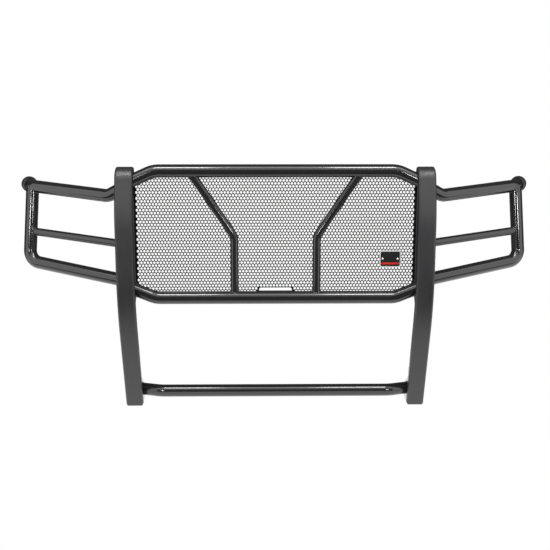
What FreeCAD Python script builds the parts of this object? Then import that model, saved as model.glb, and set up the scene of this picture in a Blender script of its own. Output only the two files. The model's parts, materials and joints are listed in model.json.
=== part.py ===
import FreeCAD, Part
import math
import os

from FreeCAD import Placement, Rotation, Vector

# Front grille guard for a full-size pickup truck. Millimetres, +Z up, the front
# faces -Y and +X is to the right as seen from the front. The frame's origin is
# the centre of the bottom of the whole guard.

SIZES = [
    # round tube and bar
    ("tube_diameter", 50.8, "2 inch main tube"),
    ("tube_wall", 2.4, "wall of the main tube"),
    ("bar_diameter", 31.75, "1 1/4 inch bar tube"),
    ("bar_wall", 2.0, "wall of the bar tube"),
    ("crossbar_bend_radius", 100.0, "centre line radius of the crossbars' bends"),
    ("bar_bend_radius", 60.0, "centre line radius of the grille bars' bends"),
    ("loop_bend_radius", 50.0, "centre line radius of the brush guard's corner"),
    # uprights, side view: face line of the rubber
    ("upright_centre", 581.0, "half distance between the uprights' centres"),
    ("upright_width", 56.0, "outside width of the channel"),
    ("channel_wall", 5.0, "steel of the channel"),
    ("face_forward", 68.0, "face ahead of the grille tubes' plane"),
    ("upright_height", 990.0, "floor line to the top of the rubber"),
    ("sweep_height", 460.0, "height where the lower sweep starts"),
    ("sweep_run", 158.0, "how far the lower end sweeps back"),
    ("sweep_radius", 800.0, "radius of the lower bend"),
    ("lean_height", 810.0, "height where the upper lean starts"),
    ("lean_angle", 12.5, "degrees the upper face leans back"),
    ("lean_radius", 500.0, "radius of the upper bend"),
    ("crown_radius", 57.0, "radius of the rounded top"),
    ("narrow_depth", 50.0, "depth of the channel between the tubes"),
    ("head_rear", 85.0, "rear edge of the deep upper part"),
    ("head_bottom", 525.0, "bottom corner of the deep upper part"),
    ("neck_height", 450.0, "where the narrow part starts"),
    ("wing_height", 118.0, "where the mounting wing starts"),
    ("wing_rear", 211.0, "rear edge of the mounting wing"),
    ("wing_rear_height", 62.0, "height of the wing's rear edge"),
    ("wing_corner", 12.0, "cut lower corner of the wing"),
    ("head_corner_run", 25.0, "cut upper corner of the deep part, front to back"),
    ("head_corner_drop", 34.0, "cut upper corner's lower end below the top"),
    ("head_top_drop", 8.0, "fall of the top edge towards the cut corner"),
    # rubber facings
    ("rubber_width", 70.0, "width of the rubber facing"),
    ("rubber_thickness", 12.0, "rubber in front of the channel"),
    ("rubber_lip", 10.0, "how far the lips wrap the channel's sides"),
    ("rubber_edge_radius", 10.5, "rounding of the long front edges"),
    ("rubber_corner_radius", 14.0, "rounding of the bottom corners"),
    ("rubber_top_radius", 9.0, "rounding of the top corners"),
    # crossbars
    ("top_height", 973.0, "centre of the top crossbar"),
    ("top_drop", 37.0, "drop of its ends at the uprights"),
    ("lower_height", 476.0, "centre of the lower grille tube"),
    ("lower_rise", 33.0, "rise of its ends at the uprights"),
    ("bottom_height", 64.0, "centre of the bottom crossbar"),
    ("bottom_depth", 98.0, "its middle stretch behind the grille tubes"),
    ("bottom_end_depth", 128.0, "its ends behind the grille tubes"),
    ("bend_half_span", 471.0, "half distance between the crossbars' bends"),
    # grille bars and punch plate
    ("bar_top_span", 332.0, "grille bar's top end from the middle"),
    ("bar_foot_span", 161.0, "grille bar's foot from the middle"),
    ("bar_bend_height", 720.0, "height of the grille bar's bend"),
    ("plate_thickness", 2.0, "punch plate"),
    ("plate_side_gap", 1.0, "between the plate and each upright"),
    ("slot_width", 129.0, "slot over the lower grille tube"),
    ("slot_height", 12.0, "height of the slot"),
    ("slot_sill", 5.0, "metal left under the slot"),
    ("slot_corner", 8.0, "radius of the slot's upper corners"),
    # brush guards
    ("brush_top_height", 873.0, "top tube at the upright"),
    ("brush_top_end", 903.4, "top tube where the vertical tube meets it"),
    ("brush_kink_run", 40.0, "length of the top tube's first stretch"),
    ("brush_kink_rise", 24.0, "drop of the first stretch away from the upright"),
    ("brush_end_start", 8.0, "where the top tube's end turns, before the vertical tube"),
    ("brush_end_run", 26.0, "top tube's end past the vertical tube"),
    ("brush_end_back", 18.0, "how far the end turns back"),
    ("brush_end_rise", 8.0, "how far the end turns up"),
    ("brush_middle_height", 692.0, "middle bar at the upright"),
    ("brush_middle_end", 724.0, "middle bar at the vertical tube"),
    ("brush_low_height", 549.0, "lower tube at the upright"),
    ("brush_low_end", 605.3, "lower tube at the corner"),
    ("brush_top_span", 980.0, "vertical tube's top end from the middle"),
    ("brush_low_span", 993.7, "vertical tube's corner from the middle"),
    ("brush_top_sweep", 173.0, "vertical tube's top end behind the grille tubes"),
    ("brush_low_sweep", 130.0, "corner behind the grille tubes"),
    ("cap_diameter", 64.0, "ball cap on the top tube's outer end"),
    ("cap_socket", 22.0, "tube length held inside the cap"),
    # frame brackets and their fasteners
    ("bracket_thickness", 6.35, "bracket plate"),
    ("bracket_front", 128.0, "front edge of the bracket"),
    ("bracket_rear", 370.0, "rear edge of the bracket"),
    ("bracket_bottom", 8.0, "bottom edge of the bracket"),
    ("bracket_nose_height", 52.0, "height of its front end"),
    ("bracket_tail_height", 84.0, "height of its rear end"),
    ("bracket_corner", 15.0, "cut corners of the rear end"),
    ("bracket_nose_length", 85.0, "low front stretch of the bracket"),
    ("bracket_tail_length", 110.0, "high rear stretch of the bracket"),
    ("joint_hole_diameter", 13.0, "clearance hole for M12"),
    ("joint_first", 147.0, "first bolt behind the grille tubes"),
    ("joint_spacing", 42.0, "spacing of the two bolts"),
    ("joint_height", 32.0, "height of the two bolts"),
    ("frame_hole_diameter", 15.0, "clearance hole for M14"),
    ("frame_first", 290.0, "first frame hole behind the grille tubes"),
    ("frame_spacing", 50.0, "spacing of the two frame holes"),
    ("frame_height", 48.0, "height of the frame holes"),
    ("bolt_diameter", 12.0, "M12"),
    ("bolt_length", 35.0, "under the head"),
    ("hex_flats", 18.0, "across flats of head and nut"),
    ("head_height", 7.5, "hexagon head"),
    ("nut_height", 10.8, "hexagon nut"),
    ("washer_diameter", 24.0, "flat washer"),
    ("washer_thickness", 2.5, "flat washer"),
    ("lock_washer_diameter", 21.0, "spring washer"),
    ("lock_washer_thickness", 3.0, "spring washer"),
    # badge
    ("badge_span", 452.0, "badge's centre from the middle"),
    ("badge_height", 627.0, "badge's centre height"),
    ("badge_width", 84.0, "badge plate"),
    ("badge_depth", 66.0, "height of the badge plate"),
    ("badge_thickness", 3.0, "badge plate"),
    ("badge_rim", 4.0, "width of the bright rim"),
    ("badge_rim_thickness", 2.0, "rim ahead of the plate"),
    ("badge_corner", 10.0, "corner radius of the badge"),
    ("badge_screw_spacing", 60.0, "spacing of the two badge screws"),
    ("badge_screw_diameter", 4.0, "shank"),
    ("badge_screw_head", 8.0, "domed head"),
    ("badge_screw_dome", 2.2, "height of the domed head"),
    ("stripe_width", 68.0, "plain raised stripe on the badge"),
    ("stripe_height", 8.0, "height of the stripe"),
    ("stripe_drop", 18.0, "stripe below the badge's centre"),
    ("stripe_thickness", 1.5, "stripe ahead of the plate"),
    # clips that hold the rubber
    ("clip_shank", 8.0, "shank through the channel's web"),
    ("clip_head", 16.0, "head behind the web"),
    ("clip_head_thickness", 3.0, "head behind the web"),
    ("clip_grip", 6.0, "shank buried in the rubber"),
    ("clip_first", 602.0, "height of the lowest clip"),
    ("clip_spacing", 36.0, "height from clip to clip"),
]

doc = FreeCAD.newDocument("grille_guard")
sheet = doc.addObject("Spreadsheet::Sheet", "Sizes")
for row, (alias, value, note) in enumerate(SIZES, start=1):
    sheet.set(f"A{row}", note)
    sheet.set(f"B{row}", str(value))
    sheet.setAlias(f"B{row}", alias)
doc.recompute()


def size(alias):
    """A driving dimension, read from the sheet."""
    return float(sheet.get(alias))


TUBE_R = size("tube_diameter") / 2
BAR_R = size("bar_diameter") / 2
HALF_CHANNEL = size("upright_width") / 2
INNER_WALL = size("upright_centre") - HALF_CHANNEL
OUTER_WALL = size("upright_centre") + HALF_CHANNEL
SIDES = (("left", -1), ("right", 1))
# between the plate and the tubes it is stitched to
PLATE_GAP = 0.1
PLATE_FRONT = BAR_R + PLATE_GAP
CLIP_COUNT = 5
CLIP_HEIGHTS = [size("clip_first") + i * size("clip_spacing") for i in range(CLIP_COUNT)]
# two lengths closer than this are the same
SAME = 1e-6
# a curve rebuilt from a sketch can miss its own geometry by this much
SKETCH_ERROR = 1e-3
# How far a cutting shape reaches past what it cuts, and a tube's raw end past
# the wall where it is trimmed flush.
ROOM = 20.0

# The guard is drawn with the grille tubes' plane at Y = 0 and moved once, so
# that the origin is in the middle of its depth.
MIDDLE_DEPTH = (size("bracket_rear") - size("face_forward")) / 2
HOME = Vector(0, -MIDDLE_DEPTH, 0)

nodes = {}


def keep(name, shape_object):
    """Name a finished sub-part: its Label is its file's name."""
    shape_object.Label = name
    nodes[name] = shape_object
    return shape_object


# ---------------------------------------------------------------- sketch help

def new_body(name, base=Vector(0, 0, 0), rotation=Rotation()):
    body = doc.addObject("PartDesign::Body", "Body_" + name)
    body.Placement = Placement(HOME + base, rotation)
    return body


def new_sketch(body, role, geometry, name, offset=0.0):
    """A sketch on one of the body's own origin planes, moved along its normal."""
    plane = [f for f in body.Origin.OriginFeatures if f.Role == role][0]
    sketch = body.newObject("Sketcher::SketchObject", name)
    sketch.AttachmentSupport = (plane, [""])
    sketch.MapMode = "FlatFace"
    sketch.AttachmentOffset = Placement(Vector(0, 0, offset), Rotation())
    sketch.addGeometry(geometry, False)
    return sketch


def polygon(points):
    """Closed outline of straight lines through (u, v) points."""
    corners = [Vector(u, v, 0) for u, v in points]
    return [Part.LineSegment(a, b) for a, b in zip(corners, corners[1:] + corners[:1])]


def circle(u, v, radius):
    return Part.Circle(Vector(u, v, 0), Vector(0, 0, 1), radius)


def rounded_rectangle(width, height, radius):
    """Rectangle about the sketch's origin with quarter-circle corners."""
    half_u, half_v = width / 2, height / 2
    geometry = []
    for quarter in range(4):
        turn = Rotation(Vector(0, 0, 1), 90 * quarter)
        along, across = (half_u, half_v) if quarter % 2 == 0 else (half_v, half_u)
        centre = turn.multVec(Vector(along - radius, across - radius, 0))
        geometry.append(Part.ArcOfCircle(
            Part.Circle(centre, Vector(0, 0, 1), radius),
            math.radians(90 * quarter), math.radians(90 * (quarter + 1))))
        start = turn.multVec(Vector(along - radius, across, 0))
        end = turn.multVec(Vector(radius - along, across, 0))
        geometry.append(Part.LineSegment(start, end))
    return geometry


def pad(body, sketch, length, midplane=False, backwards=False):
    """Pad whose length is an expression on the sheet."""
    feature = body.newObject("PartDesign::Pad", "Pad")
    feature.Profile = sketch
    feature.setExpression("Length", length)
    feature.Midplane = midplane
    feature.Reversed = backwards
    sketch.Visibility = False
    return feature


def pocket(body, sketch, length, midplane=False, backwards=False):
    """Pocket whose depth is an expression on the sheet; it has to change the body."""
    doc.recompute()
    before = len(body.Shape.Faces)
    feature = body.newObject("PartDesign::Pocket", "Pocket")
    feature.Profile = sketch
    feature.setExpression("Length", length)
    feature.Midplane = midplane
    feature.Reversed = backwards
    doc.recompute()
    if len(body.Shape.Faces) <= before:
        raise RuntimeError("pocket cuts nothing in " + body.Name)
    return feature


def through(body, sketch):
    """Pocket that goes through the whole body, both ways from its sketch."""
    pocket(body, sketch, "Sizes.upright_width", midplane=True)


def fillet(body, radius, chosen):
    """Round the edges of the body's tip for which chosen(edge) is true."""
    doc.recompute()
    base = body.Tip
    names = [f"Edge{i + 1}" for i, e in enumerate(base.Shape.Edges) if chosen(e)]
    if not names:
        raise RuntimeError("no edges to round in " + body.Name)
    feature = body.newObject("PartDesign::Fillet", "Fillet")
    feature.Base = (base, names)
    feature.setExpression("Radius", radius)
    doc.recompute()
    return feature


# -------------------------------------------------------------- upright's line

SWEEP_ANGLE = math.atan2(size("sweep_run"), size("sweep_height"))
LEAN_ANGLE = math.radians(size("lean_angle"))
FACE = -size("face_forward")
SWEEP_R = size("sweep_radius")
LEAN_R = size("lean_radius")
CROWN_R = size("crown_radius")
SWEEP_CENTRE = Vector(FACE + SWEEP_R,
                      size("sweep_height") + SWEEP_R * math.tan(SWEEP_ANGLE / 2), 0)
LEAN_CENTRE = Vector(FACE + LEAN_R,
                     size("lean_height") - LEAN_R * math.tan(LEAN_ANGLE / 2), 0)
CROWN_CENTRE_Z = size("upright_height") - CROWN_R
CROWN_CENTRE = Vector(
    FACE + CROWN_R * math.cos(LEAN_ANGLE)
    + (CROWN_CENTRE_Z + CROWN_R * math.sin(LEAN_ANGLE) - size("lean_height"))
    * math.tan(LEAN_ANGLE),
    CROWN_CENTRE_Z, 0)


def on_arc(centre, radius, angle):
    """Point where the face's normal points forward and up by angle."""
    return centre + Vector(-math.cos(angle), math.sin(angle), 0) * radius


def sweep_line_at(inset, height):
    """Point on the straight lower stretch, inset behind the rubber's face."""
    depth = FACE + size("sweep_run") - height * math.tan(SWEEP_ANGLE)
    return Vector(depth + inset / math.cos(SWEEP_ANGLE), height, 0)


def face_arc(centre, radius, low, high):
    """Arc of the face from one normal angle up to another."""
    middle = on_arc(centre, radius, (low + high) / 2)
    return Part.Arc(on_arc(centre, radius, low), middle, on_arc(centre, radius, high))


def face_line(inset, bottom):
    """The face's side view, inset behind the rubber, from the bottom to the crown."""
    radii = (SWEEP_R - inset, LEAN_R - inset, CROWN_R - inset)
    sweep_start = on_arc(SWEEP_CENTRE, radii[0], -SWEEP_ANGLE)
    straight_low = on_arc(SWEEP_CENTRE, radii[0], 0)
    straight_high = on_arc(LEAN_CENTRE, radii[1], 0)
    lean_start = on_arc(LEAN_CENTRE, radii[1], LEAN_ANGLE)
    crown_start = on_arc(CROWN_CENTRE, radii[2], LEAN_ANGLE)
    return [
        Part.LineSegment(sweep_line_at(inset, bottom), sweep_start),
        face_arc(SWEEP_CENTRE, radii[0], -SWEEP_ANGLE, 0),
        Part.LineSegment(straight_low, straight_high),
        face_arc(LEAN_CENTRE, radii[1], 0, LEAN_ANGLE),
        Part.LineSegment(lean_start, crown_start),
        face_arc(CROWN_CENTRE, radii[2], LEAN_ANGLE, math.pi / 2),
    ]


def line_through(points):
    """Straight lines through the points, in order, left open."""
    return [Part.LineSegment(a, b) for a, b in zip(points, points[1:])]


def corner_cut(u, v, radius):
    """Outline of what rounding a corner at (u, v) takes off, with room outside it."""
    out_u, out_v = math.copysign(1, u), 1 if v > 0 else -1
    centre = Vector(u - out_u * radius, v - out_v * radius, 0)
    beside = centre + Vector(out_u * radius, 0, 0)
    above = centre + Vector(0, out_v * radius, 0)
    middle = centre + Vector(out_u, out_v, 0) * (radius / math.sqrt(2))
    outside = [above, above + Vector(0, out_v * ROOM, 0),
               centre + Vector(out_u, out_v, 0) * (radius + ROOM),
               beside + Vector(out_u * ROOM, 0, 0), beside]
    return [Part.Arc(beside, middle, above)] + line_through(outside)


def upright_channel(name, side):
    """One folded channel: two deep side walls joined by the front web."""
    web = size("rubber_thickness")
    rear = web + size("narrow_depth")
    rear_radius = SWEEP_R - rear
    neck_angle = math.asin((size("neck_height") - SWEEP_CENTRE.y) / rear_radius)
    neck = on_arc(SWEEP_CENTRE, rear_radius, neck_angle)
    sweep_end = on_arc(SWEEP_CENTRE, rear_radius, -SWEEP_ANGLE)
    crown_top = on_arc(CROWN_CENTRE, CROWN_R - web, math.pi / 2)
    head = [
        crown_top,
        Vector(size("head_rear") - size("head_corner_run"),
               crown_top.y - size("head_top_drop"), 0),
        Vector(size("head_rear"), crown_top.y - size("head_corner_drop"), 0),
        Vector(size("head_rear"), size("head_bottom"), 0),
        neck,
    ]
    wing = [
        sweep_end,
        sweep_line_at(rear, size("wing_height")),
        Vector(size("wing_rear"), size("wing_rear_height"), 0),
        Vector(size("wing_rear"), size("wing_corner"), 0),
        Vector(size("wing_rear") - size("wing_corner"), 0, 0),
        sweep_line_at(web, 0),
    ]
    profile = face_line(web, 0) + line_through(head)
    profile.append(face_arc(SWEEP_CENTRE, rear_radius, -SWEEP_ANGLE, neck_angle))
    profile += line_through(wing)
    body = new_body(name, Vector(side * size("upright_centre"), 0, 0))
    pad(body, new_sketch(body, "YZ_Plane", profile, "SideView"),
        "Sizes.upright_width", midplane=True)

    inside = web + size("channel_wall")
    under = -ROOM
    behind = size("wing_rear") + ROOM
    over = size("upright_height") + ROOM
    crown_end = on_arc(CROWN_CENTRE, CROWN_R - inside, math.pi / 2)
    cavity = face_line(inside, under) + line_through([
        crown_end,
        Vector(crown_end.x, over, 0),
        Vector(behind, over, 0),
        Vector(behind, under, 0),
        sweep_line_at(inside, under),
    ])
    pocket(body, new_sketch(body, "YZ_Plane", cavity, "Inside"),
           "Sizes.upright_width - 2 * Sizes.channel_wall", midplane=True)

    holes = [circle(size("joint_first") + i * size("joint_spacing"), size("joint_height"),
                    size("joint_hole_diameter") / 2) for i in range(2)]
    pocket(body, new_sketch(body, "YZ_Plane", holes, "JointHoles"),
           "Sizes.upright_width", backwards=side > 0)
    clip_holes = [circle(0, height, size("clip_shank") / 2) for height in CLIP_HEIGHTS]
    pocket(body, new_sketch(body, "XZ_Plane", clip_holes, "ClipHoles", ROOM - FACE),
           "Sizes.face_forward")
    keep(name, body)


def rubber_facing(name, side):
    """Moulded strip over the web, with a lip down each side of the channel."""
    web = size("rubber_thickness")
    back = web + size("rubber_lip")
    body = new_body(name, Vector(side * size("upright_centre"), 0, 0))

    def strip(front, rear, bottom):
        ends_low = [sweep_line_at(rear, bottom), sweep_line_at(front, bottom)]
        ends_high = [on_arc(CROWN_CENTRE, CROWN_R - front, math.pi / 2),
                     on_arc(CROWN_CENTRE, CROWN_R - rear, math.pi / 2)]
        return (face_line(front, bottom) + line_through(ends_high)
                + face_line(rear, bottom) + line_through(ends_low))

    pad(body, new_sketch(body, "YZ_Plane", strip(0, back, 0), "Strip"),
        "Sizes.rubber_width", midplane=True)
    half = size("rubber_width") / 2
    front_edges = Part.Wire([g.toShape() for g in face_line(0, 0)])

    def on_front(edge):
        """One of the two long edges of the strip's face."""
        middle = edge.valueAt((edge.FirstParameter + edge.LastParameter) / 2)
        beside = Part.Vertex(Vector(middle.y, middle.z, 0))
        along_side = all(abs(abs(v.X) - half) < SAME for v in edge.Vertexes)
        return along_side and front_edges.distToShape(beside)[0] < SKETCH_ERROR

    fillet(body, "Sizes.rubber_edge_radius", on_front)
    groove = strip(web, back + ROOM, -ROOM)
    pocket(body, new_sketch(body, "YZ_Plane", groove, "Groove"),
           "Sizes.upright_width", midplane=True)
    corners = []
    for u in (-half, half):
        corners += corner_cut(u, 0, size("rubber_corner_radius"))
        corners += corner_cut(u, size("upright_height"), size("rubber_top_radius"))
    pocket(body, new_sketch(body, "XZ_Plane", corners, "Corners"),
           "Sizes.upright_height", midplane=True)
    clip_holes = [circle(0, height, size("clip_shank") / 2) for height in CLIP_HEIGHTS]
    # the sketch plane is inside the rubber, so the holes are blind from behind
    pocket(body, new_sketch(body, "XZ_Plane", clip_holes, "ClipHoles",
                            -FACE - web + size("clip_grip")),
           "Sizes.clip_grip + Sizes.rubber_lip")
    return body


# ------------------------------------------------------------------ tube help

def spine(name, corners, radius):
    """Centre line: straight runs through the corners, joined by tangent arcs."""
    points = [Vector(corner) + HOME for corner in corners]
    edges = []
    start = points[0]
    for before, corner, after in zip(points, points[1:], points[2:]):
        back = (before - corner).normalize()
        ahead = (after - corner).normalize()
        half_turn = (math.pi - back.getAngle(ahead)) / 2
        reach = radius * math.tan(half_turn)
        bisector = (back + ahead).normalize()
        centre = corner + bisector * (radius / math.cos(half_turn))
        arc_start = corner + back * reach
        arc_end = corner + ahead * reach
        edges.append(Part.LineSegment(start, arc_start).toShape())
        edges.append(Part.Arc(arc_start, centre - bisector * radius, arc_end).toShape())
        start = arc_end
    edges.append(Part.LineSegment(start, points[-1]).toShape())
    path = doc.addObject("Part::Feature", name + "_spine")
    path.Shape = Part.Wire(edges)
    return path


def swept_round(name, path, radius):
    """Solid round section along a centre line; radius is an expression."""
    first = path.Shape.Edges[0]
    profile = doc.addObject("Part::Circle", name + "_section")
    profile.setExpression("Radius", radius)
    profile.Placement = Placement(first.valueAt(first.FirstParameter),
                                  Rotation(Vector(0, 0, 1), first.tangentAt(first.FirstParameter)))
    sweep = doc.addObject("Part::Sweep", name)
    sweep.Sections = [profile]
    sweep.Spine = (path, [f"Edge{i + 1}" for i in range(len(path.Shape.Edges))])
    sweep.Solid = True
    sweep.Frenet = False
    return sweep


def cut(base, tool, name):
    result = doc.addObject("Part::Cut", name)
    result.Base = base
    result.Tool = tool
    return result


solids = {}


def tube(name, corners, bend, kind, trims):
    """Hollow tube along the corners, its ends cut to fit what they are welded to."""
    path = spine(name, corners, size(bend))
    outer = swept_round(name + "_outside", path, f"Sizes.{kind}_diameter / 2")
    inner = swept_round(name + "_bore", path, f"Sizes.{kind}_diameter / 2 - Sizes.{kind}_wall")
    solids[name] = outer
    result = cut(outer, inner, name + "_hollow")
    for number, tool in enumerate(trims):
        result = cut(result, tool, f"{name}_trim{number}")
    keep(name, result)


def upright_block(name, side):
    """Space between an upright's outer faces, for cutting tube ends flush."""
    box = doc.addObject("Part::Box", name)
    box.setExpression("Length", "Sizes.upright_width")
    box.setExpression("Width", "2 * Sizes.bracket_rear")
    box.setExpression("Height", "2 * Sizes.upright_height")
    low_x = side * size("upright_centre") - HALF_CHANNEL
    corner = Vector(low_x, -size("bracket_rear"), -size("upright_height") / 2)
    box.Placement = Placement(HOME + corner, Rotation())
    return box


# --------------------------------------------------------------- build uprights

blocks = {}
facings = {}
for word, side in SIDES:
    blocks[word] = upright_block(f"{word}_upright_block", side)
    upright_channel(f"{word}_upright_channel", side)
    facings[word] = rubber_facing(f"{word}_rubber_facing", side)

# -------------------------------------------------------------- build crossbars

both_blocks = [blocks["left"], blocks["right"]]
INSIDE_UPRIGHT = INNER_WALL + ROOM


def crossbar(name, depth, end_depth, height, end_height):
    """Tube between the uprights, bent near both ends."""
    bend = size("bend_half_span")
    stretch = (INSIDE_UPRIGHT - bend) / (INNER_WALL - bend)
    end = (depth + (end_depth - depth) * stretch, height + (end_height - height) * stretch)
    corners = [
        (-INSIDE_UPRIGHT, *end),
        (-bend, depth, height),
        (bend, depth, height),
        (INSIDE_UPRIGHT, *end),
    ]
    tube(name, corners, "crossbar_bend_radius", "tube", both_blocks)


crossbar("top_crossbar", 0, 0, size("top_height"), size("top_height") - size("top_drop"))
crossbar("lower_grille_tube", 0, 0, size("lower_height"),
         size("lower_height") + size("lower_rise"))
crossbar("bottom_crossbar", size("bottom_depth"), size("bottom_end_depth"),
         size("bottom_height"), size("bottom_height"))

for word, facing in facings.items():
    # the rubber's lip is notched round the top crossbar
    name = f"{word}_rubber_facing"
    keep(name, cut(facing, solids["top_crossbar"], name + "_notched"))

for word, side in SIDES:
    tube(f"{word}_grille_bar",
         [(side * size("bar_foot_span"), 0, size("lower_height")),
          (side * size("bar_foot_span"), 0, size("bar_bend_height")),
          (side * size("bar_top_span"), 0, size("top_height"))],
         "bar_bend_radius", "bar", [solids["top_crossbar"], solids["lower_grille_tube"]])

# ------------------------------------------------------------ build punch plate


def slot_outline(bottom):
    """Long slot with square lower corners and rounded upper ones."""
    half, corner = size("slot_width") / 2, size("slot_corner")
    top = bottom + size("slot_height")
    shoulder = top - corner
    outline = line_through([Vector(-half, shoulder, 0), Vector(-half, bottom, 0),
                            Vector(half, bottom, 0), Vector(half, shoulder, 0)])
    outline.append(Part.LineSegment(Vector(half - corner, top, 0), Vector(corner - half, top, 0)))
    for out in (-1, 1):
        centre = Vector(out * (half - corner), shoulder, 0)
        middle = centre + Vector(out, 1, 0) * (corner / math.sqrt(2))
        outline.append(Part.Arc(centre + Vector(out * corner, 0, 0), middle,
                                centre + Vector(0, corner, 0)))
    return outline


def punch_plate(name):
    """Sheet behind the grille bars, cut to the tubes, with a slot at the bottom."""
    chord = math.sqrt(TUBE_R ** 2 - PLATE_FRONT ** 2) + PLATE_GAP
    bend = size("bend_half_span")
    side_edge = INNER_WALL - size("plate_side_gap")
    run = INNER_WALL - bend
    top_angle = math.atan2(size("top_drop"), run)
    low_angle = math.atan2(size("lower_rise"), run)
    top = size("top_height") - chord
    low = size("lower_height") + chord
    top_bend = bend - chord * math.tan(top_angle / 2)
    low_bend = bend - chord * math.tan(low_angle / 2)
    side_top = top - (side_edge - top_bend) * math.tan(top_angle)
    side_low = low + (side_edge - low_bend) * math.tan(low_angle)
    outline = [(-side_edge, side_low), (-low_bend, low), (low_bend, low), (side_edge, side_low),
               (side_edge, side_top), (top_bend, top), (-top_bend, top), (-side_edge, side_top)]
    body = new_body(name, Vector(0, PLATE_FRONT + size("plate_thickness"), 0))
    pad(body, new_sketch(body, "XZ_Plane", polygon(outline), "Outline"),
        "Sizes.plate_thickness")

    def at_bend(edge):
        """Plate corner beside a bend of the tube above or below."""
        start, end = edge.Vertexes
        from_bend = min(abs(abs(start.X) - top_bend), abs(abs(start.X) - low_bend))
        return max(abs(start.X - end.X), abs(start.Z - end.Z), from_bend) < SAME

    fillet(body, f"Sizes.crossbar_bend_radius - {chord}", at_bend)
    slot = slot_outline(low + size("slot_sill"))
    through(body, new_sketch(body, "XZ_Plane", slot, "Slot"))
    keep(name, body)


punch_plate("punch_plate_grille")

# ----------------------------------------------------------- build brush guards


def from_upright(side, end, start_height):
    """Raw start inside the upright of a straight run from its wall out to end."""
    run = abs(end.x) - OUTER_WALL
    slope = (end.z - start_height) / run
    return Vector(side * (OUTER_WALL - ROOM), -ROOM * end.y / run, start_height - ROOM * slope)


def brush_guard(word, side):
    """Swept-back headlight guard: top tube, middle bar, and lower tube with riser."""
    rail_start = size("brush_top_height")
    span = size("brush_top_span")
    riser_top = Vector(side * span, size("brush_top_sweep"), size("brush_top_end"))
    slope = (riser_top.z - rail_start) / (span - OUTER_WALL)
    sweep = riser_top.y / (span - OUTER_WALL)
    kink = size("brush_kink_run")
    kink_start = size("brush_kink_rise") * (kink + ROOM) / kink
    turn, end_run = size("brush_end_start"), size("brush_end_run")
    top_line = [
        (side * (OUTER_WALL - ROOM), 0, rail_start + kink_start),
        (side * (OUTER_WALL + kink), sweep * kink, rail_start + slope * kink),
        (side * (span - turn), riser_top.y - turn * sweep, riser_top.z - turn * slope),
        (side * (span + end_run), riser_top.y + end_run * sweep + size("brush_end_back"),
         riser_top.z + size("brush_end_rise")),
    ]
    tube(f"{word}_brush_top_tube", top_line, "loop_bend_radius", "tube", [blocks[word]])
    corner = Vector(side * size("brush_low_span"), size("brush_low_sweep"),
                    size("brush_low_end"))
    low_line = [from_upright(side, corner, size("brush_low_height")), corner, riser_top]
    tube(f"{word}_brush_loop_tube", low_line, "loop_bend_radius", "tube",
         [blocks[word], solids[f"{word}_brush_top_tube"]])
    part_way = (size("brush_middle_end") - corner.z) / (riser_top.z - corner.z)
    middle_end = corner + (riser_top - corner) * part_way
    middle_line = [from_upright(side, middle_end, size("brush_middle_height")), middle_end]
    tube(f"{word}_brush_middle_bar", middle_line, "bar_bend_radius", "bar",
         [blocks[word], solids[f"{word}_brush_loop_tube"]])


def ball_cap(name, word):
    """Ball-ended plastic cap with a socket that slips over the tube's end."""
    path = doc.getObject(f"{word}_brush_top_tube_spine").Shape
    last = path.Edges[-1]
    end = last.valueAt(last.LastParameter)
    along = last.tangentAt(last.LastParameter)
    radius = size("cap_diameter") / 2
    body = doc.addObject("PartDesign::Body", "Body_" + name)
    # the ball's centre is the tube's centre line where the socket starts to close
    body.Placement = Placement(end - along * (size("cap_socket") / 2),
                               Rotation(Vector(0, 0, 1), along))
    rim = -size("cap_socket") / 2
    rim_radius = math.sqrt(radius ** 2 - rim ** 2)
    diagonal = radius / math.sqrt(2)
    half_section = [
        Part.LineSegment(Vector(0, rim, 0), Vector(rim_radius, rim, 0)),
        Part.Arc(Vector(rim_radius, rim, 0), Vector(diagonal, diagonal, 0),
                 Vector(0, radius, 0)),
        Part.LineSegment(Vector(0, radius, 0), Vector(0, rim, 0)),
    ]
    section = new_sketch(body, "XZ_Plane", half_section, "HalfSection")
    turned = body.newObject("PartDesign::Revolution", "Revolution")
    turned.Profile = section
    turned.ReferenceAxis = (section, ["V_Axis"])
    turned.Angle = 360
    socket = new_sketch(body, "XY_Plane", [circle(0, 0, TUBE_R)], "Socket", rim)
    pocket(body, socket, "Sizes.cap_socket", backwards=True)
    # notched where the riser joins the top tube beside it
    keep(name, cut(body, solids[f"{word}_brush_loop_tube"], name + "_notched"))


for word, side in SIDES:
    brush_guard(word, side)
doc.recompute()
for word, side in SIDES:
    ball_cap(f"{word}_tube_end_cap", word)

# --------------------------------------------- build frame brackets and fasteners

BRACKET_OUTSIDE = HALF_CHANNEL - size("channel_wall")
JOINT_POINTS = [(size("joint_first") + i * size("joint_spacing"), size("joint_height"))
                for i in range(2)]


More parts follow.
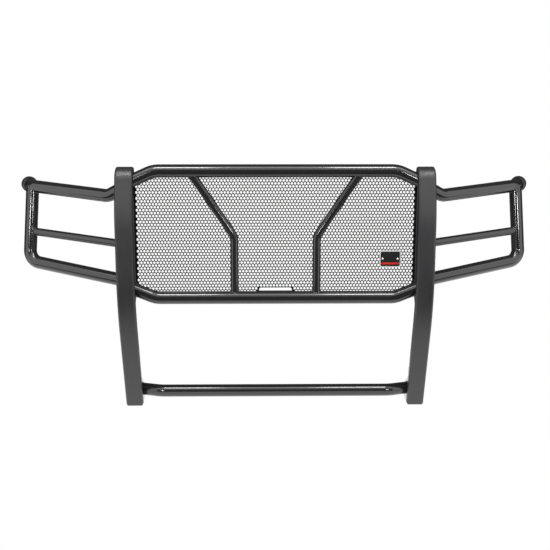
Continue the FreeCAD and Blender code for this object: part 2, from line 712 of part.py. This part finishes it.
def frame_bracket(name, side):
    """Flat bracket inside the channel's outer wall, reaching back to the frame."""
    bottom = size("bracket_bottom")
    front, rear = size("bracket_front"), size("bracket_rear")
    nose, tail = bottom + size("bracket_nose_height"), bottom + size("bracket_tail_height")
    corner = size("bracket_corner")
    outline = [(front, bottom), (rear - corner, bottom), (rear, bottom + corner),
               (rear, tail - corner), (rear - corner, tail),
               (rear - size("bracket_tail_length"), tail),
               (front + size("bracket_nose_length"), nose), (front, nose)]
    inner_face = BRACKET_OUTSIDE - size("bracket_thickness")
    # the plate is padded towards +X, so each side starts from its lower X face
    start = inner_face if side > 0 else -BRACKET_OUTSIDE
    body = new_body(name, Vector(side * size("upright_centre") + start, 0, 0))
    pad(body, new_sketch(body, "YZ_Plane", polygon(outline), "Outline"),
        "Sizes.bracket_thickness")
    holes = [circle(u, v, size("joint_hole_diameter") / 2) for u, v in JOINT_POINTS]
    holes += [circle(size("frame_first") + i * size("frame_spacing"), size("frame_height"),
                     size("frame_hole_diameter") / 2) for i in range(2)]
    through(body, new_sketch(body, "YZ_Plane", holes, "Holes"))
    keep(name, body)


def hexagon(flats):
    reach = flats / math.sqrt(3)
    turns = [math.radians(60 * i) for i in range(6)]
    return polygon([(reach * math.cos(turn), reach * math.sin(turn)) for turn in turns])


def hex_bolt():
    """Bolt along +Z, with the underside of its head at Z = 0."""
    body = doc.addObject("PartDesign::Body", "Body_bolt")
    pad(body, new_sketch(body, "XY_Plane", hexagon(size("hex_flats")), "Head"),
        "Sizes.head_height", backwards=True)
    pad(body, new_sketch(body, "XY_Plane", [circle(0, 0, size("bolt_diameter") / 2)], "Shank"),
        "Sizes.bolt_length")
    return body


def ring(name, outer, inner, thickness):
    """Flat ring along +Z from Z = 0."""
    body = doc.addObject("PartDesign::Body", "Body_" + name)
    rings = [circle(0, 0, outer / 2), circle(0, 0, inner / 2)]
    pad(body, new_sketch(body, "XY_Plane", rings, "Ring"), thickness)
    return body


def hex_nut():
    body = doc.addObject("PartDesign::Body", "Body_nut")
    outline = hexagon(size("hex_flats")) + [circle(0, 0, size("bolt_diameter") / 2)]
    pad(body, new_sketch(body, "XY_Plane", outline, "Nut"), "Sizes.nut_height")
    return body


def copies(name, master, placements):
    """Identical pieces as one group of separate solids."""
    doc.recompute()
    shapes = []
    for place in placements:
        shape = master.Shape.copy()
        shape.Placement = place.multiply(master.Placement)
        shapes.append(shape)
    group = doc.addObject("Part::Feature", "Group_" + name)
    group.Shape = Part.makeCompound(shapes)
    group.Placement = Placement(HOME, Rotation())
    keep(name, group)


def joint_places(distance):
    """One place at each bracket bolt, distance inward of the channel's outer face."""
    places = []
    for _, side in SIDES:
        inward = Rotation(Vector(0, 0, 1), Vector(-side, 0, 0))
        for depth, height in JOINT_POINTS:
            x = side * (OUTER_WALL - distance)
            places.append(Placement(Vector(x, depth, height), inward))
    return places


for word, side in SIDES:
    frame_bracket(f"{word}_frame_bracket", side)
flat = size("washer_thickness")
grip = size("channel_wall") + size("bracket_thickness")
copies("bracket_bolts", hex_bolt(), joint_places(-flat))
flat_washer = ring("flat_washer", size("washer_diameter"), size("bolt_diameter"),
                   "Sizes.washer_thickness")
copies("bracket_flat_washers", flat_washer, joint_places(-flat) + joint_places(grip))
lock_washer = ring("lock_washer", size("lock_washer_diameter"), size("bolt_diameter"),
                   "Sizes.lock_washer_thickness")
copies("bracket_lock_washers", lock_washer, joint_places(grip + flat))
copies("bracket_nuts", hex_nut(),
       joint_places(grip + flat + size("lock_washer_thickness")))

# ------------------------------------------------------------------ build badge

BADGE_BASE = Vector(size("badge_span"), PLATE_FRONT, size("badge_height"))
badge = new_body("badge_plate", BADGE_BASE)
badge_outline = rounded_rectangle(size("badge_width"), size("badge_depth"), size("badge_corner"))
pad(badge, new_sketch(badge, "XZ_Plane", badge_outline, "Outline"), "Sizes.badge_thickness")
screw_holes = [circle(sign * size("badge_screw_spacing") / 2, 0, size("badge_screw_diameter") / 2)
               for sign in (-1, 1)]
through(badge, new_sketch(badge, "XZ_Plane", screw_holes, "ScrewHoles"))
keep("badge_plate", badge)

rim_width = size("badge_rim")
rim = new_body("badge_rim", BADGE_BASE - Vector(0, size("badge_thickness"), 0))
rim_outline = rounded_rectangle(size("badge_width"), size("badge_depth"), size("badge_corner"))
rim_outline += rounded_rectangle(size("badge_width") - 2 * rim_width,
                                 size("badge_depth") - 2 * rim_width,
                                 size("badge_corner") - rim_width)
pad(rim, new_sketch(rim, "XZ_Plane", rim_outline, "Rim"), "Sizes.badge_rim_thickness")
keep("badge_rim", rim)

stripe = new_body("badge_stripe", BADGE_BASE - Vector(0, size("badge_thickness"), 0))
stripe_half = size("stripe_width") / 2
stripe_low = -size("stripe_drop") - size("stripe_height") / 2
stripe_high = stripe_low + size("stripe_height")
stripe_outline = polygon([(-stripe_half, stripe_low), (stripe_half, stripe_low),
                          (stripe_half, stripe_high), (-stripe_half, stripe_high)])
pad(stripe, new_sketch(stripe, "XZ_Plane", stripe_outline, "Outline"),
    "Sizes.stripe_thickness")
keep("badge_stripe", stripe)


def badge_screw():
    """Domed screw along +Z into the plate, head below Z = 0."""
    body = doc.addObject("PartDesign::Body", "Body_badge_screw")
    shank, head = size("badge_screw_diameter") / 2, size("badge_screw_head") / 2
    tip, dome = size("badge_thickness"), size("badge_screw_dome")
    dome_radius = (head ** 2 + dome ** 2) / (2 * dome)
    dome_centre = dome_radius - dome
    half_angle = math.asin(head / dome_radius) / 2
    dome_middle = Vector(dome_radius * math.sin(half_angle),
                         dome_centre - dome_radius * math.cos(half_angle), 0)
    top = Vector(0, -dome, 0)
    half_section = line_through([top, Vector(0, tip, 0), Vector(shank, tip, 0),
                                 Vector(shank, 0, 0), Vector(head, 0, 0)])
    half_section.append(Part.Arc(Vector(head, 0, 0), dome_middle, top))
    section = new_sketch(body, "XZ_Plane", half_section, "HalfSection")
    turned = body.newObject("PartDesign::Revolution", "Revolution")
    turned.Profile = section
    turned.ReferenceAxis = (section, ["V_Axis"])
    turned.Angle = 360
    return body


into_plate = Rotation(Vector(0, 0, 1), Vector(0, 1, 0))
screw_places = [
    Placement(BADGE_BASE + Vector(sign * size("badge_screw_spacing") / 2,
                                  -size("badge_thickness"), 0), into_plate)
    for sign in (-1, 1)]
copies("badge_screws", badge_screw(), screw_places)

# --------------------------------------------------------- build rubber's clips


def clip():
    """Push-in clip along +Z: head behind the web, shank forward into the rubber."""
    body = doc.addObject("PartDesign::Body", "Body_clip")
    pad(body, new_sketch(body, "XY_Plane", [circle(0, 0, size("clip_head") / 2)], "Head"),
        "Sizes.clip_head_thickness", backwards=True)
    pad(body, new_sketch(body, "XY_Plane", [circle(0, 0, size("clip_shank") / 2)], "Shank"),
        "Sizes.channel_wall + Sizes.clip_grip")
    return body


forward = Rotation(Vector(0, 0, 1), Vector(0, -1, 0))
web_back = FACE + size("rubber_thickness") + size("channel_wall")
clip_places = [Placement(Vector(side * size("upright_centre"), web_back, height), forward)
               for _, side in SIDES for height in CLIP_HEIGHTS]
copies("rubber_facing_clips", clip(), clip_places)

# ----------------------------------------------------------------- check, write

doc.recompute()
failed = [o.Name for o in doc.Objects if "Invalid" in o.State or "Error" in o.State]
if failed:
    raise RuntimeError("failed objects: " + ", ".join(failed))
os.makedirs("parts", exist_ok=True)
for name, node in nodes.items():
    shape = node.Shape
    if shape.isNull() or not shape.isValid() or not shape.Solids:
        raise RuntimeError("bad shape: " + name)
    box = shape.BoundBox
    print(f"{name}: {len(shape.Solids)} solid(s), {shape.Volume / 1000:.1f} cm3, "
          f"X {box.XMin:.1f}..{box.XMax:.1f}  Y {box.YMin:.1f}..{box.YMax:.1f}  "
          f"Z {box.ZMin:.1f}..{box.ZMax:.1f}")
    shape.exportStep(f"parts/{name}.step")
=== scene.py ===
import json
import math

import bmesh
import bpy
from mathutils import Matrix, Vector
from mathutils.geometry import convex_hull_2d


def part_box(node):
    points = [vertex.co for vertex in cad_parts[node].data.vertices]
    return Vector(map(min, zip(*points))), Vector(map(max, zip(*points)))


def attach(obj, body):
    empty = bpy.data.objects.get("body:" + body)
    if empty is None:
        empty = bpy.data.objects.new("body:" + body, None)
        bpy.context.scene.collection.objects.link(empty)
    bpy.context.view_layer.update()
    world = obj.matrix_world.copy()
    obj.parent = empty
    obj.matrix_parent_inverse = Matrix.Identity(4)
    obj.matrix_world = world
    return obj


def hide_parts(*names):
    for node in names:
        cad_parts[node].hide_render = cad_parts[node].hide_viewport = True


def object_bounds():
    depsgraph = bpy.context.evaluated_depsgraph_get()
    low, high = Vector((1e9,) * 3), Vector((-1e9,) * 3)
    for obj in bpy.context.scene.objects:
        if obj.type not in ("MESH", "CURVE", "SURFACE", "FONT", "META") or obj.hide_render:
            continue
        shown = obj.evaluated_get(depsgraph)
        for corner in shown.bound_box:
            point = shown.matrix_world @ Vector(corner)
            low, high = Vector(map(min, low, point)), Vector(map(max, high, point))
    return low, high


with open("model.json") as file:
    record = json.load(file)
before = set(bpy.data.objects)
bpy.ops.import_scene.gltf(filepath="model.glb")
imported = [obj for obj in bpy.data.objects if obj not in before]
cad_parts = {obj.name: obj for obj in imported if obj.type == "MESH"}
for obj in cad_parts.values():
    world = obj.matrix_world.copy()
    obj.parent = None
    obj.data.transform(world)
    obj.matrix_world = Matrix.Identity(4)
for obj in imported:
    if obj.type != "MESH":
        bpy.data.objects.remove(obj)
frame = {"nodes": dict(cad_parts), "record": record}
cad_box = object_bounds()
nodes = frame["nodes"]
record = frame["record"]

# The looks of a front grille guard round its CAD frame: the perforated plate,
# the welds, every finish and the studio. Metres, +Z up, the guard's front faces -Y.

MM = 0.001
SIDES = (("left", -1), ("right", 1))


# ------------------------------------------------------------- material helpers

NOISE_LOW, NOISE_HIGH = 0.3, 0.7


class Finish:
    """A node material under construction, with a few short ways to add nodes."""

    def __init__(self, name):
        self.material = bpy.data.materials.new(name)
        self.material.use_nodes = True
        self.tree = self.material.node_tree
        self.shader = self.tree.nodes["Principled BSDF"]
        self.place = self.tree.nodes.new("ShaderNodeTexCoord").outputs["Object"]

    def set(self, **values):
        """Uniform values, on the shader's own sockets."""
        for name, value in values.items():
            self.shader.inputs[name.replace("_", " ")].default_value = value

    def link(self, output, socket):
        self.tree.links.new(output, self.shader.inputs[socket])

    def stretched(self, stretch):
        """Object coordinates, scaled along each axis."""
        node = self.tree.nodes.new("ShaderNodeMapping")
        node.inputs["Scale"].default_value = stretch
        self.tree.links.new(self.place, node.inputs["Vector"])
        return node.outputs["Vector"]

    def noise(self, scale, detail=2.0, roughness=0.5, stretch=(1, 1, 1)):
        node = self.tree.nodes.new("ShaderNodeTexNoise")
        node.inputs["Scale"].default_value = scale
        node.inputs["Detail"].default_value = detail
        node.inputs["Roughness"].default_value = roughness
        self.tree.links.new(self.stretched(stretch), node.inputs["Vector"])
        return node.outputs["Fac"]

    def cells(self, scale):
        node = self.tree.nodes.new("ShaderNodeTexVoronoi")
        node.inputs["Scale"].default_value = scale
        self.tree.links.new(self.stretched((1, 1, 1)), node.inputs["Vector"])
        return node.outputs["Distance"]

    def ranged(self, noise, low, high):
        """A noise's middle range as low..high."""
        node = self.tree.nodes.new("ShaderNodeMapRange")
        for socket, number in (("From Min", NOISE_LOW), ("From Max", NOISE_HIGH),
                               ("To Min", low), ("To Max", high)):
            node.inputs[socket].default_value = number
        self.tree.links.new(noise, node.inputs["Value"])
        return node.outputs["Result"]

    def shade(self, value, dark, light):
        """A colour between dark and light, by value from 0 to 1."""
        node = self.tree.nodes.new("ShaderNodeMix")
        node.data_type = "RGBA"
        node.inputs["A"].default_value = (*dark, 1)
        node.inputs["B"].default_value = (*light, 1)
        self.tree.links.new(value, node.inputs["Factor"])
        return node.outputs["Result"]

    def bump(self, *layers):
        """Bump from (height, depth in metres) layers, laid over one another."""
        normal = None
        for height, depth in layers:
            node = self.tree.nodes.new("ShaderNodeBump")
            node.inputs["Distance"].default_value = depth
            self.tree.links.new(height, node.inputs["Height"])
            if normal:
                self.tree.links.new(normal, node.inputs["Normal"])
            normal = node.outputs["Normal"]
        self.link(normal, "Normal")


def gloss_coat():
    """Gloss black powder coat: orange peel, and a faint haze under a clear coat."""
    look = Finish("black_gloss_coat")
    haze = look.noise(9, 4, 0.6)
    look.link(look.shade(haze, (0.007, 0.007, 0.0075), (0.014, 0.014, 0.015)), "Base Color")
    look.link(look.ranged(haze, 0.11, 0.17), "Roughness")
    look.set(IOR=1.5, Coat_Weight=0.35, Coat_Roughness=0.05)
    look.bump((look.noise(220, 1), 0.000008), (look.noise(40, 1), 0.00002))
    return look.material


def rubber():
    """Moulded black rubber: fine grain and a satin sheen."""
    look = Finish("black_rubber")
    cloud = look.noise(14, 5, 0.6, (1, 1, 0.4))
    look.link(look.shade(cloud, (0.011, 0.011, 0.012), (0.019, 0.019, 0.021)), "Base Color")
    look.link(look.ranged(cloud, 0.40, 0.48), "Roughness")
    look.set(IOR=1.56)
    look.bump((look.cells(1400), 0.00008), (look.noise(500, 3), 0.00006))
    return look.material


def plastic():
    """Moulded black plastic of the ball caps and clips."""
    look = Finish("black_plastic")
    cloud = look.noise(40, 3)
    look.link(look.shade(cloud, (0.012, 0.012, 0.012), (0.022, 0.022, 0.023)), "Base Color")
    look.link(look.ranged(cloud, 0.28, 0.38), "Roughness")
    look.bump((look.noise(700, 2), 0.00005))
    return look.material


def zinc():
    """Bright zinc plating on the fasteners, slightly clouded."""
    look = Finish("zinc_steel")
    cloud = look.noise(180, 4, 0.6)
    look.link(look.shade(cloud, (0.50, 0.50, 0.48), (0.74, 0.74, 0.73)), "Base Color")
    look.link(look.ranged(cloud, 0.24, 0.42), "Roughness")
    look.set(Metallic=1.0)
    look.bump((look.noise(900, 2), 0.00004))
    return look.material


def badge_face(name, dark, light, metallic):
    """Small smooth badge surfaces with fine brushing across."""
    look = Finish(name)
    brush = look.noise(300, 3, 0.6, (0.1, 1, 1))
    look.link(look.shade(brush, dark, light), "Base Color")
    look.link(look.ranged(brush, 0.18, 0.32), "Roughness")
    look.set(Metallic=metallic)
    look.bump((brush, 0.00003))
    return look.material


finishes = {
    "black_gloss_coat": gloss_coat(),
    "black_rubber": rubber(),
    "black_plastic": plastic(),
    "zinc_steel": zinc(),
    "badge_black": badge_face("badge_black", (0.006, 0.006, 0.006), (0.016, 0.016, 0.016), 0.0),
    "badge_silver": badge_face("badge_silver", (0.62, 0.62, 0.63), (0.86, 0.86, 0.87), 0.4),
    "badge_red": badge_face("badge_red", (0.42, 0.015, 0.012), (0.60, 0.03, 0.025), 0.0),
}

# ------------------------------------------------------------ finish CAD's nodes

for subpart in record["subparts"]:
    for holder in nodes[subpart["node"]].material_slots:
        holder.material = finishes[subpart["material_slot"]]


def new_piece(name, mesh, slot):
    """A finished mesh of this scene as a piece that rides on the guard."""
    data = bpy.data.meshes.new(name)
    mesh.to_mesh(data)
    mesh.free()
    piece = bpy.data.objects.new(name, data)
    bpy.context.scene.collection.objects.link(piece)
    data.materials.append(finishes[slot])
    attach(piece, "root")
    return piece


# ------------------------------------------------------------ perforated plate

PITCH = 12.7 * MM        # hole to hole along a row
ROW = 11.5 * MM          # row to row
FIRST_ROW = 2.3 * MM     # second row's centres above the plate's bottom edge
HOLE_SHARE = 0.735       # a hole's size as a share of its cell's
SIDE_METAL = 6 * MM      # least metal between a hole and the plate's side
SLOT_METAL = 2.5 * MM    # least metal between a hole and the slot
CELL_MERGE = 0.05 * MM   # neighbouring cells' corners closer than this are one


def plate_outline(node):
    """Convex outline (x, z) of the plate and its slot's corners, from its own mesh."""
    points = {(round(v.co.x, 6), round(v.co.z, 6)) for v in node.data.vertices}
    points = [Vector(p) for p in sorted(points)]
    hull = [points[i] for i in convex_hull_2d(points)]
    slot = [p for p in points if all(abs(d) > MM for d in depths(p, hull))]
    return hull, slot


def depths(point, hull):
    """How far inside each side of a convex outline the point lies."""
    centre = sum(hull, Vector((0, 0))) / len(hull)
    result = []
    for start, end in zip(hull, hull[1:] + hull[:1]):
        along = (end - start).normalized()
        inward = Vector((-along.y, along.x))
        if (centre - start).dot(inward) < 0:
            inward = -inward
        result.append((point - start).dot(inward))
    return result


def perforated_plate():
    """Staggered hexagonal holes in a sheet, cut to the plate's outline and slot."""
    low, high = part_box("punch_plate_grille")
    hull, slot = plate_outline(nodes["punch_plate_grille"])
    slot_low = Vector((min(p.x for p in slot), min(p.y for p in slot)))
    slot_high = Vector((max(p.x for p in slot), max(p.y for p in slot)))
    slot_centre = (slot_low + slot_high) / 2
    mesh = bmesh.new()
    half = PITCH / 2
    corner_rise = ROW / 3
    tip_rise = ROW - corner_rise
    cell = [Vector(p) for p in ((0, tip_rise), (-half, corner_rise), (-half, -corner_rise),
                                (0, -tip_rise), (half, -corner_rise), (half, corner_rise))]
    rows = math.ceil((high.z - low.z) / ROW) + 2
    columns = math.ceil((high.x - low.x) / PITCH) + 2
    for row in range(rows):
        for column in range(columns):
            centre = Vector(((column - columns // 2 + 0.5 * (row % 2)) * PITCH,
                             low.z + FIRST_ROW + (row - 1) * ROW))
            if min(depths(centre, hull)) < -tip_rise:
                continue
            hole = [centre + p * HOLE_SHARE for p in cell]
            metal = high.x - max(abs(p.x) for p in hole)
            off_slot = min(max(slot_low.x - p.x, p.x - slot_high.x,
                               slot_low.y - p.y, p.y - slot_high.y) for p in hole)
            ring = [mesh.verts.new((centre.x + p.x, low.y, centre.y + p.y)) for p in cell]
            if metal < SIDE_METAL or off_slot < SLOT_METAL:
                mesh.faces.new(ring)
                continue
            inner = [mesh.verts.new((p.x, low.y, p.y)) for p in hole]
            for i in range(len(cell)):
                j = (i + 1) % len(cell)
                mesh.faces.new((ring[i], ring[j], inner[j], inner[i]))
    bmesh.ops.remove_doubles(mesh, verts=mesh.verts, dist=CELL_MERGE)
    for start, end in zip(hull, hull[1:] + hull[:1]):
        along = (end - start).normalized()
        outward = Vector((along.y, 0, -along.x))
        middle = Vector((0, low.y, (low.z + high.z) / 2))
        origin = Vector((start.x, low.y, start.y))
        if (middle - origin).dot(outward) > 0:
            outward = -outward
        bmesh.ops.bisect_plane(mesh, geom=mesh.verts[:] + mesh.edges[:] + mesh.faces[:],
                               plane_co=origin, plane_no=outward, clear_outer=True)
    cut_slot(mesh, slot, slot_centre)
    bmesh.ops.recalc_face_normals(mesh, faces=mesh.faces)
    thick = bmesh.ops.extrude_face_region(mesh, geom=mesh.faces[:], use_keep_orig=True)
    back = [g for g in thick["geom"] if isinstance(g, bmesh.types.BMVert)]
    bmesh.ops.translate(mesh, verts=back, vec=(0, high.y - low.y, 0))
    bmesh.ops.recalc_face_normals(mesh, faces=mesh.faces)
    piece = new_piece("perforated_plate", mesh, "black_gloss_coat")
    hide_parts("punch_plate_grille")


def flat_centre(face):
    """A face's centre in the plate's own plane (x, z)."""
    centre = face.calc_center_median()
    return Vector((centre.x, centre.z))


def cut_slot(mesh, slot, centre):
    """Cut the slot out of the solid cells round it."""
    reach = max((p - centre).length for p in slot) + PITCH
    hull = [slot[i] for i in convex_hull_2d(slot)]
    for start, end in zip(hull, hull[1:] + hull[:1]):
        near = [f for f in mesh.faces if (flat_centre(f) - centre).length < reach]
        verts = list(dict.fromkeys(v for f in near for v in f.verts))
        edges = list(dict.fromkeys(e for f in near for e in f.edges))
        along = (end - start).normalized()
        bmesh.ops.bisect_plane(mesh, geom=verts + edges + near,
                               plane_co=(start.x, 0, start.y), plane_no=(along.y, 0, -along.x))
    gone = [f for f in mesh.faces if min(depths(flat_centre(f), hull)) > 0]
    bmesh.ops.delete(mesh, geom=gone, context="FACES")


perforated_plate()

# ------------------------------------------------------------------ weld beads

BEAD_RADIUS = 2.6 * MM
BEAD_SIDES = 8
RIPPLE = 3.2 * MM                    # length of one ripple
RINGS_PER_RIPPLE = 4
RIPPLE_DEPTH = 0.10                  # share of the bead's radius
WANDER_DEPTH, WANDER_TURN = 0.06, 0.37   # slower waviness, and its turn per ring
END_SIZE, END_GROWTH = 0.35, 0.3     # an open bead's end, and its growth per ring
SEAM_MERGE = 0.01 * MM
SHARP_EDGE = math.radians(35)
LEAST_LOOP_POINTS = 9


def end_loops(node):
    """Outer edge of each end of a tube, as closed loops of points."""
    mesh = bmesh.new()
    mesh.from_mesh(node.data)
    bmesh.ops.remove_doubles(mesh, verts=mesh.verts, dist=SEAM_MERGE)
    sharp = [e for e in mesh.edges
             if len(e.link_faces) == 2 and e.calc_face_angle() > SHARP_EDGE]
    loops = []
    while sharp:
        first, last = sharp.pop(0).verts
        loop = [first, last]
        while True:
            following = [e for e in last.link_edges if e in sharp]
            if not following:
                break
            sharp.remove(following[0])
            last = following[0].other_vert(last)
            loop.append(last)
        loops.append([v.co.copy() for v in loop[:-1]])
    mesh.free()
    loops = [loop for loop in loops if len(loop) >= LEAST_LOOP_POINTS]

    def girth(loop):
        return sum((a - b).length for a, b in zip(loop, loop[1:] + loop[:1]))

    loops.sort(key=girth, reverse=True)
    return loops[:2]


def resampled(points, step, closed):
    """Evenly spaced points along a line of points."""
    line = points + points[:1] if closed else points
    lengths = [(b - a).length for a, b in zip(line, line[1:])]
    count = max(4, round(sum(lengths) / step))
    spacing = sum(lengths) / count
    result, travelled, index = [], 0.0, 0
    for i in range(count + (not closed)):
        while index < len(lengths) - 1 and travelled + lengths[index] < i * spacing:
            travelled += lengths[index]
            index += 1
        share = (i * spacing - travelled) / lengths[index]
        result.append(line[index].lerp(line[index + 1], min(1, share)))
    return result


def weld_bead(name, points, closed=True):
    """Rippled bead of weld metal along a line of points, under the coat."""
    path = resampled(points, RIPPLE / RINGS_PER_RIPPLE, closed)
    count = len(path)
    mesh = bmesh.new()
    rings = []
    for i, here in enumerate(path):
        before = path[i - 1] if closed or i else here
        after = path[(i + 1) % count] if closed or i < count - 1 else here
        along = (after - before).normalized()
        aside = along.orthogonal().normalized() if not rings else aside
        aside = (aside - along * aside.dot(along)).normalized()
        up = along.cross(aside)
        wave = (1 + RIPPLE_DEPTH * math.sin(2 * math.pi * i / RINGS_PER_RIPPLE)
                + WANDER_DEPTH * math.sin(i * WANDER_TURN))
        to_end = min(i, count - 1 - i)
        taper = 1 if closed else min(1, END_SIZE + to_end * END_GROWTH)
        thickness = BEAD_RADIUS * wave * taper
        rings.append([mesh.verts.new(here + (aside * math.cos(turn) + up * math.sin(turn))
                                     * thickness)
                      for turn in (2 * math.pi * k / BEAD_SIDES for k in range(BEAD_SIDES))])
    for ring, after in zip(rings, rings[1:]):
        for k in range(BEAD_SIDES):
            n = (k + 1) % BEAD_SIDES
            mesh.faces.new((ring[k], ring[n], after[n], after[k]))
    if closed:
        close_rings(mesh, rings[-1], rings[0])
    else:
        mesh.faces.new(rings[0][::-1])
        mesh.faces.new(rings[-1])
    bmesh.ops.recalc_face_normals(mesh, faces=mesh.faces)
    for face in mesh.faces:
        face.smooth = True
    new_piece(name, mesh, "black_gloss_coat")


def close_rings(mesh, ring, first):
    """Join the last ring to the first, at the turn where their points lie nearest."""
    def gap(turn):
        return sum((ring[k].co - first[(k + turn) % BEAD_SIDES].co).length
                   for k in range(BEAD_SIDES))

    turn = min(range(BEAD_SIDES), key=gap)
    for k in range(BEAD_SIDES):
        n = (k + 1) % BEAD_SIDES
        mesh.faces.new((ring[k], ring[n], first[(n + turn) % BEAD_SIDES],
                        first[(k + turn) % BEAD_SIDES]))


welded = ["top_crossbar", "lower_grille_tube", "bottom_crossbar"]
for word, side in SIDES:
    welded += [f"{word}_grille_bar", f"{word}_brush_top_tube", f"{word}_brush_loop_tube",
               f"{word}_brush_middle_bar"]
for name in welded:
    outer_end_capped = "brush_top_tube" in name
    loops = end_loops(nodes[name])
    loops.sort(key=lambda loop: abs(sum(p.x for p in loop) / len(loop)))
    for number, loop in enumerate(loops[:1] if outer_end_capped else loops):
        weld_bead(f"weld_{name}_{number}", loop)

STITCH = 26 * MM            # length of one stitch
STITCH_SPACING = 150 * MM


def plate_stitches():
    """Short beads behind the plate, where its long edges meet the tubes."""
    low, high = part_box("punch_plate_grille")
    hull, _ = plate_outline(nodes["punch_plate_grille"])
    number = 0
    for start, end in zip(hull, hull[1:] + hull[:1]):
        run = end - start
        if run.length < STITCH_SPACING or abs(run.x) < STITCH:
            continue
        count = max(1, round(run.length / STITCH_SPACING))
        for i in range(count):
            middle = start + run * ((i + 0.5) / count)
            reach = run.normalized() * (STITCH / 2)
            line = [Vector((p.x, high.y, p.y)) for p in (middle - reach, middle + reach)]
            weld_bead(f"weld_plate_{number}", line, closed=False)
            number += 1


plate_stitches()

# --------------------------------------------------------------------- studio

EYE = Vector((0, -3.469, 1.151))
PITCH_DOWN = math.radians(10.0)
YAW = math.radians(0.8)
LENS = 56.1
SENSOR = 36
FLOOR_HALF = 30.0
FLOOR_DROP = 0.5 * MM
# Painted pool of light: the floor round the guard glows, and its tubes mirror that glow; bright
# within the start distance of the guard's middle, front to back, and dim beyond the end
# distance.
PAINTED_POOL_START = 0.42
PAINTED_POOL_END = 0.85
PAINTED_POOL_BRIGHT = 1.5
PAINTED_POOL_DIM = 0.15


def camera():
    """Camera in front of the guard and a little above it."""
    data = bpy.data.cameras.new("camera")
    data.lens = LENS
    data.sensor_width = SENSOR
    eye = bpy.data.objects.new("camera", data)
    eye.location = EYE
    around = Matrix.Rotation(-YAW, 4, "Z")
    eye.matrix_world = (around @ Matrix.Translation(EYE)
                        @ Matrix.Rotation(math.pi / 2 - PITCH_DOWN, 4, "X"))
    bpy.context.scene.collection.objects.link(eye)
    bpy.context.scene.camera = eye


def softbox(name, place, aim, width, height, radiance):
    """Rectangular light; its power follows from the brightness of its face."""
    data = bpy.data.lights.new(name, "AREA")
    data.shape = "RECTANGLE"
    data.size, data.size_y = width, height
    data.energy = radiance * width * height * math.pi
    lamp = bpy.data.objects.new(name, data)
    lamp.location = place
    lamp.rotation_euler = (Vector(aim) - Vector(place)).to_track_quat("-Z", "Y").to_euler()
    bpy.context.scene.collection.objects.link(lamp)


def seen_as(tree, real, seen, output):
    """Send the camera one shader and all other rays another."""
    path = tree.nodes.new("ShaderNodeLightPath")
    mix = tree.nodes.new("ShaderNodeMixShader")
    tree.links.new(path.outputs["Is Camera Ray"], mix.inputs["Fac"])
    tree.links.new(real, mix.inputs[1])
    tree.links.new(seen, mix.inputs[2])
    tree.links.new(mix.outputs["Shader"], output.inputs["Surface"])


def floor():
    """Pale floor: white to the camera; to the guard's gloss, a painted pool of light glowing
    round it.
    """
    mesh = bmesh.new()
    bmesh.ops.create_grid(mesh, x_segments=2, y_segments=2, size=FLOOR_HALF)
    data = bpy.data.meshes.new("floor")
    mesh.to_mesh(data)
    mesh.free()
    plane = bpy.data.objects.new("floor", data)
    plane.location.z = cad_box[0].z - FLOOR_DROP
    bpy.context.scene.collection.objects.link(plane)
    pale = bpy.data.materials.new("pale_floor")
    pale.use_nodes = True
    tree = pale.node_tree
    seen = tree.nodes.new("ShaderNodeEmission")
    # Painted light: the floor's emission, brighter near the guard, glows as a pool of light
    # round it.
    pool = tree.nodes.new("ShaderNodeEmission")
    place = tree.nodes.new("ShaderNodeTexCoord")
    split = tree.nodes.new("ShaderNodeSeparateXYZ")
    fade = tree.nodes.new("ShaderNodeMapRange")
    fade.interpolation_type = "SMOOTHSTEP"
    for socket, number in (("From Min", PAINTED_POOL_START), ("From Max", PAINTED_POOL_END),
                           ("To Min", PAINTED_POOL_BRIGHT), ("To Max", PAINTED_POOL_DIM)):
        fade.inputs[socket].default_value = number
    tree.links.new(place.outputs["Object"], split.inputs["Vector"])
    away = tree.nodes.new("ShaderNodeMath")
    away.operation = "ABSOLUTE"
    tree.links.new(split.outputs["Y"], away.inputs["Value"])
    tree.links.new(away.outputs["Value"], fade.inputs["Value"])
    tree.links.new(fade.outputs["Result"], pool.inputs["Strength"])
    seen_as(tree, pool.outputs["Emission"], seen.outputs["Emission"],
            tree.nodes["Material Output"])
    data.materials.append(pale)


def surroundings():
    """White backdrop behind the guard; a dim room round it for its gloss."""
    world = bpy.data.worlds.new("studio")
    world.use_nodes = True
    tree = world.node_tree
    room = tree.nodes["Background"]
    room.inputs["Color"].default_value = (0.09, 0.09, 0.095, 1)
    white = tree.nodes.new("ShaderNodeBackground")
    white.inputs["Color"].default_value = (1, 1, 1, 1)
    white.inputs["Strength"].default_value = 1.0
    seen_as(tree, room.outputs["Background"], white.outputs["Background"],
            tree.nodes["World Output"])
    bpy.context.scene.world = world


camera()
floor()
surroundings()
guard_middle = (cad_box[0] + cad_box[1]) / 2
# The two above light the tubes' tops; the walls light the swept-back tubes; the keys
# light the uprights' crowns; the low strips streak the brush guards' risers.
softbox("overhead", (0, -1.05, 3.2), guard_middle, 3.6, 0.9, 2.6)
softbox("front_top", (0, -2.1, 3.1), guard_middle, 5.0, 2.7, 1.5)
for word, side in SIDES:
    softbox(f"{word}_wall", (side * 2.4, -1.2, 2.1), (0, 0, 2.1), 1.8, 4.2, 1.6)
    softbox(f"{word}_key", (side * 0.75, -1.4, 3.2), (side * 0.58, -0.15, 0.95), 0.7, 0.5, 22)
    softbox(f"{word}_riser_strip", (side * 2.0, -4.9, 1.68), (side, 0, 0.75), 0.5, 0.30, 60)
bpy.context.scene.view_settings.view_transform = "Standard"
